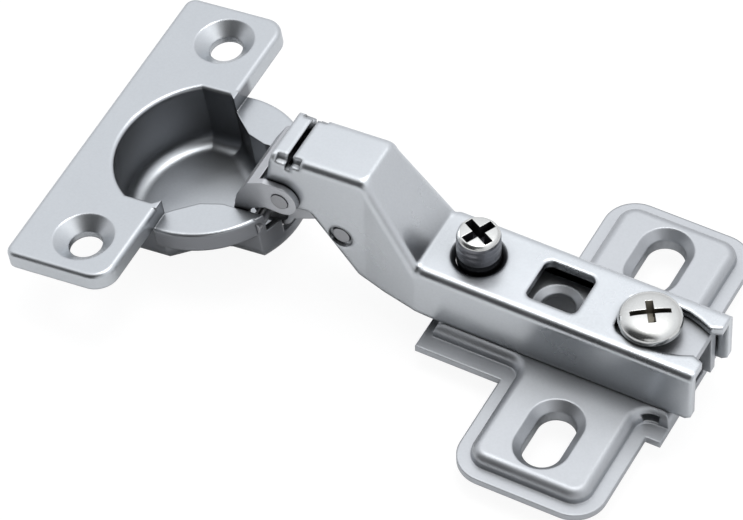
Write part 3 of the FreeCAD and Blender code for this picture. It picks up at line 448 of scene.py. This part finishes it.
class HINGE_OT_build_adjusting_screw(bpy.types.Operator):
    """The threaded adjusting screw with its cross slot"""
    bl_idname = "hinge.build_adjusting_screw"
    bl_label = "Build the adjusting screw"

    def execute(self, context):
        sizes = context.scene.hinge_screws
        low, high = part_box("side_screw")
        centre = Vector(((low.x + high.x) / 2, (low.y + high.y) / 2, 0))
        radius = (high.x - low.x) / 2
        foot = 2.6 * MM
        foot_height = 0.8 * MM
        neck = 1.5 * MM
        body_low = 10.1 * MM
        rim_height = 0.7 * MM
        recess_depth = 2.2 * MM
        foot_top = low.z + foot_height
        profile = [(0.0, low.z), (foot, low.z), (foot, foot_top), (neck, foot_top),
                   (neck, body_low), (radius - sizes.thread_depth, body_low)]
        height = body_low + 0.1 * MM
        while height < high.z - 0.9 * MM:
            profile.append((radius - sizes.thread_depth, height))
            profile.append((radius, height + sizes.thread_pitch * 0.42))
            profile.append((radius, height + sizes.thread_pitch * 0.58))
            height += sizes.thread_pitch
        profile += [(radius - sizes.thread_depth, height), (radius - 0.15 * MM, high.z - 0.35 * MM),
                    (radius - 0.45 * MM, high.z - 0.05 * MM), (radius - 0.6 * MM, high.z), (0.0, high.z)]
        bm = bmesh.new()
        lathe(bm, profile, centre, sizes.segments)
        screw = new_object("adjusting_screw", bm, context)
        cross_recess(screw, centre, high.z, recess_depth, (sizes.star_groove, sizes.star_groove),
                     sizes.adjusting_turn, context, 0.8)
        smooth(screw)
        wear(screw, finish_named("bright_plated_screw", context))
        paint_thread_shade(screw, centre, high.z - rim_height, radius * 0.8,
                    finish_named("thread_painted_shade", context))
        paint_recess_shade(screw, centre, high.z, recess_depth, radius * 0.8,
                    finish_named("star_recess_painted_shade", context))
        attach(screw, "adjuster")
        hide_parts("side_screw")
        return {"FINISHED"}


class HINGE_OT_build_fixing_screw(bpy.types.Operator):
    """The domed fixing screw with its cross recess"""
    bl_idname = "hinge.build_fixing_screw"
    bl_label = "Build the fixing screw"

    def execute(self, context):
        sizes = context.scene.hinge_screws
        low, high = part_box("fixing_screw")
        centre = Vector(((low.x + high.x) / 2, (low.y + high.y) / 2, 0))
        head = (high.x - low.x) / 2
        shank = 2.2 * MM
        seat = high.z - sizes.head_rise
        chamfer = 0.4 * MM
        dome_foot = seat + 0.65 * MM
        dome_steps = 12
        dome_fullness = 0.62
        recess_depth = 1.6 * MM
        recess_reach = 3.5 * MM
        profile = [(0.0, low.z), (shank - chamfer, low.z), (shank, low.z + chamfer), (shank, seat),
                   (head - 0.25 * MM, seat), (head, seat + 0.2 * MM), (head, dome_foot)]
        rise = high.z - dome_foot
        for step in range(1, dome_steps + 1):
            angle = math.pi / 2 * step / dome_steps
            across = head * math.cos(angle) ** dome_fullness if step < dome_steps else 0.0
            profile.append((across, dome_foot + rise * math.sin(angle)))
        bm = bmesh.new()
        lathe(bm, profile, centre, sizes.segments)
        screw = new_object("domed_fixing_screw", bm, context)
        cross_recess(screw, centre, high.z, recess_depth, (sizes.long_groove, sizes.short_groove),
                     sizes.fixing_turn, context, 0.4)
        smooth(screw)
        wear(screw, finish_named("bright_plated_screw", context))
        paint_recess_shade(screw, centre, high.z, recess_depth, recess_reach,
                    finish_named("fixing_recess_painted_shade", context))
        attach(screw, "clamp_screw")
        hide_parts("fixing_screw")
        return {"FINISHED"}


class HINGE_OT_set_stage(bpy.types.Operator):
    """A pale floor, soft lamps, a plain room and the camera"""
    bl_idname = "hinge.set_stage"
    bl_label = "Set the stage"

    def execute(self, context):
        scene = context.scene
        stage = scene.hinge_stage
        view = scene.hinge_camera
        scene.view_settings.view_transform = "Standard"

        bm = bmesh.new()
        bmesh.ops.create_grid(bm, x_segments=1, y_segments=1, size=3.0)
        floor = new_object("floor", bm, context)
        floor.location.z = -stage.floor_drop
        paper = bpy.data.materials.new("matt_white_paper")
        paper.use_nodes = True
        tree = paper.node_tree
        tree.nodes.clear()
        path = add_node(tree, "ShaderNodeLightPath")
        matt = add_node(tree, "ShaderNodeBsdfPrincipled",
                        values={"Base Color": (0.86, 0.86, 0.86, 1.0), "Roughness": 0.9})
        white = add_node(tree, "ShaderNodeEmission", values={"Strength": 1.08})
        share = add_node(tree, "ShaderNodeMath", settings={"operation": "MULTIPLY"},
                         links={0: path.outputs["Is Camera Ray"]})
        share.inputs[1].default_value = 0.85
        blend = add_node(tree, "ShaderNodeMixShader", links={0: share.outputs[0]})
        tree.links.new(matt.outputs["BSDF"], blend.inputs[1])
        tree.links.new(white.outputs["Emission"], blend.inputs[2])
        add_node(tree, "ShaderNodeOutputMaterial", links={"Surface": blend.outputs[0]})
        wear(floor, paper)

        world = bpy.data.worlds.new("plain_room")
        scene.world = world
        world.use_nodes = True
        tree = world.node_tree
        tree.nodes.clear()
        path = add_node(tree, "ShaderNodeLightPath")
        place = add_node(tree, "ShaderNodeTexCoord")
        split = add_node(tree, "ShaderNodeSeparateXYZ", links={"Vector": place.outputs["Generated"]})
        shade = add_node(tree, "ShaderNodeValToRGB", links={"Fac": split.outputs["Z"]})
        ramp = shade.color_ramp
        ramp.elements[0].position = 0.0
        ramp.elements[0].color = (0.45, 0.45, 0.46, 1.0)
        ramp.elements[1].position = 1.0
        ramp.elements[1].color = (1.0, 1.0, 1.0, 1.0)
        middle = ramp.elements.new(0.72)
        middle.color = (0.66, 0.67, 0.69, 1.0)
        # The side that the picture is taken from is dim, as in a photographer's studio.
        toward = add_node(tree, "ShaderNodeVectorMath", settings={"operation": "DOT_PRODUCT"},
                          links={0: place.outputs["Generated"]})
        toward.inputs[1].default_value = (-0.15, -0.85, 0.5)
        dim = add_node(tree, "ShaderNodeMapRange", settings={"interpolation_type": "SMOOTHSTEP"},
                       values={"From Min": 0.45, "From Max": 0.85, "To Min": 1.0, "To Max": 0.05},
                       links={"Value": toward.outputs["Value"]})
        level = add_node(tree, "ShaderNodeMath", settings={"operation": "MULTIPLY"},
                         links={0: dim.outputs["Result"]})
        level.inputs[1].default_value = stage.world_level
        room = add_node(tree, "ShaderNodeBackground",
                        links={"Color": shade.outputs["Color"], "Strength": level.outputs[0]})
        white = add_node(tree, "ShaderNodeBackground", values={"Color": (1, 1, 1, 1), "Strength": 1.0})
        blend = add_node(tree, "ShaderNodeMixShader", links={0: path.outputs["Is Camera Ray"]})
        tree.links.new(room.outputs[0], blend.inputs[1])
        tree.links.new(white.outputs[0], blend.inputs[2])
        add_node(tree, "ShaderNodeOutputWorld", links={"Surface": blend.outputs[0]})

        centre = Vector((-0.03, 0.0, 0.01))
        lamps = (
            ("key_softbox", Vector((-0.05, 0.12, 0.65)), 0.30, stage.key_power),
            ("front_softbox", Vector((0.25, -0.55, 0.25)), 0.35, stage.fill_power),
        )
        for name, place, size, power in lamps:
            data = bpy.data.lights.new(name, "AREA")
            data.shape = "DISK"
            data.size = size
            data.energy = power
            lamp = bpy.data.objects.new(name, data)
            lamp.location = place
            lamp.rotation_euler = (centre - place).to_track_quat("-Z", "Y").to_euler()
            scene.collection.objects.link(lamp)

        a, e = view.azimuth, view.elevation
        right = Vector((math.cos(a), math.sin(a), 0.0))
        back = Vector((math.sin(a) * math.cos(e), -math.cos(a) * math.cos(e), math.sin(e)))
        upward = back.cross(right)
        c, s = math.cos(view.roll), math.sin(view.roll)
        x_axis = right * c + upward * s
        y_axis = upward * c - right * s
        matrix = Matrix((x_axis, y_axis, back)).transposed().to_4x4()
        matrix.translation = Vector(view.place)
        data = bpy.data.cameras.new("hinge_camera")
        data.sensor_width = SENSOR_WIDTH
        data.lens = view.focal_px / PICTURE_WIDTH * SENSOR_WIDTH
        data.clip_start = 0.01
        data.clip_end = 10.0
        camera = bpy.data.objects.new("hinge_camera", data)
        camera.matrix_world = matrix
        scene.collection.objects.link(camera)
        scene.camera = camera
        return {"FINISHED"}


class HINGE_PT_panel(bpy.types.Panel):
    """Lists the steps that dress the hinge"""
    bl_idname = "HINGE_PT_panel"
    bl_label = "Cranked hinge"
    bl_space_type = "VIEW_3D"
    bl_region_type = "UI"
    bl_category = "Hinge"

    def draw(self, context):
        column = self.layout.column()
        for operator in OPERATORS:
            column.operator(operator.bl_idname, text=operator.bl_label)
        for group in ("hinge_finish", "hinge_screws", "hinge_camera", "hinge_stage"):
            settings = getattr(context.scene, group)
            for name in settings.bl_rna.properties.keys():
                if name not in ("rna_type", "name"):
                    column.prop(settings, name)


OPERATORS = (
    HINGE_OT_dress_sheet,
    HINGE_OT_build_adjusting_screw,
    HINGE_OT_build_fixing_screw,
    HINGE_OT_set_stage,
)
GROUPS = (
    (HingeScrewSizes, "hinge_screws"),
    (HingeFinish, "hinge_finish"),
    (HingeCamera, "hinge_camera"),
    (HingeStage, "hinge_stage"),
)


def register():
    for group, name in GROUPS:
        bpy.utils.register_class(group)
        setattr(bpy.types.Scene, name, PointerProperty(type=group))
    for operator in OPERATORS:
        bpy.utils.register_class(operator)
    bpy.utils.register_class(HINGE_PT_panel)


def unregister():
    bpy.utils.unregister_class(HINGE_PT_panel)
    for operator in reversed(OPERATORS):
        bpy.utils.unregister_class(operator)
    for group, name in reversed(GROUPS):
        delattr(bpy.types.Scene, name)
        bpy.utils.unregister_class(group)


def main():
    register()
    bpy.ops.hinge.dress_sheet()
    bpy.ops.hinge.build_adjusting_screw()
    bpy.ops.hinge.build_fixing_screw()
    bpy.ops.hinge.set_stage()
    bpy.context.view_layer.update()


if __name__ == "__main__":
    main()
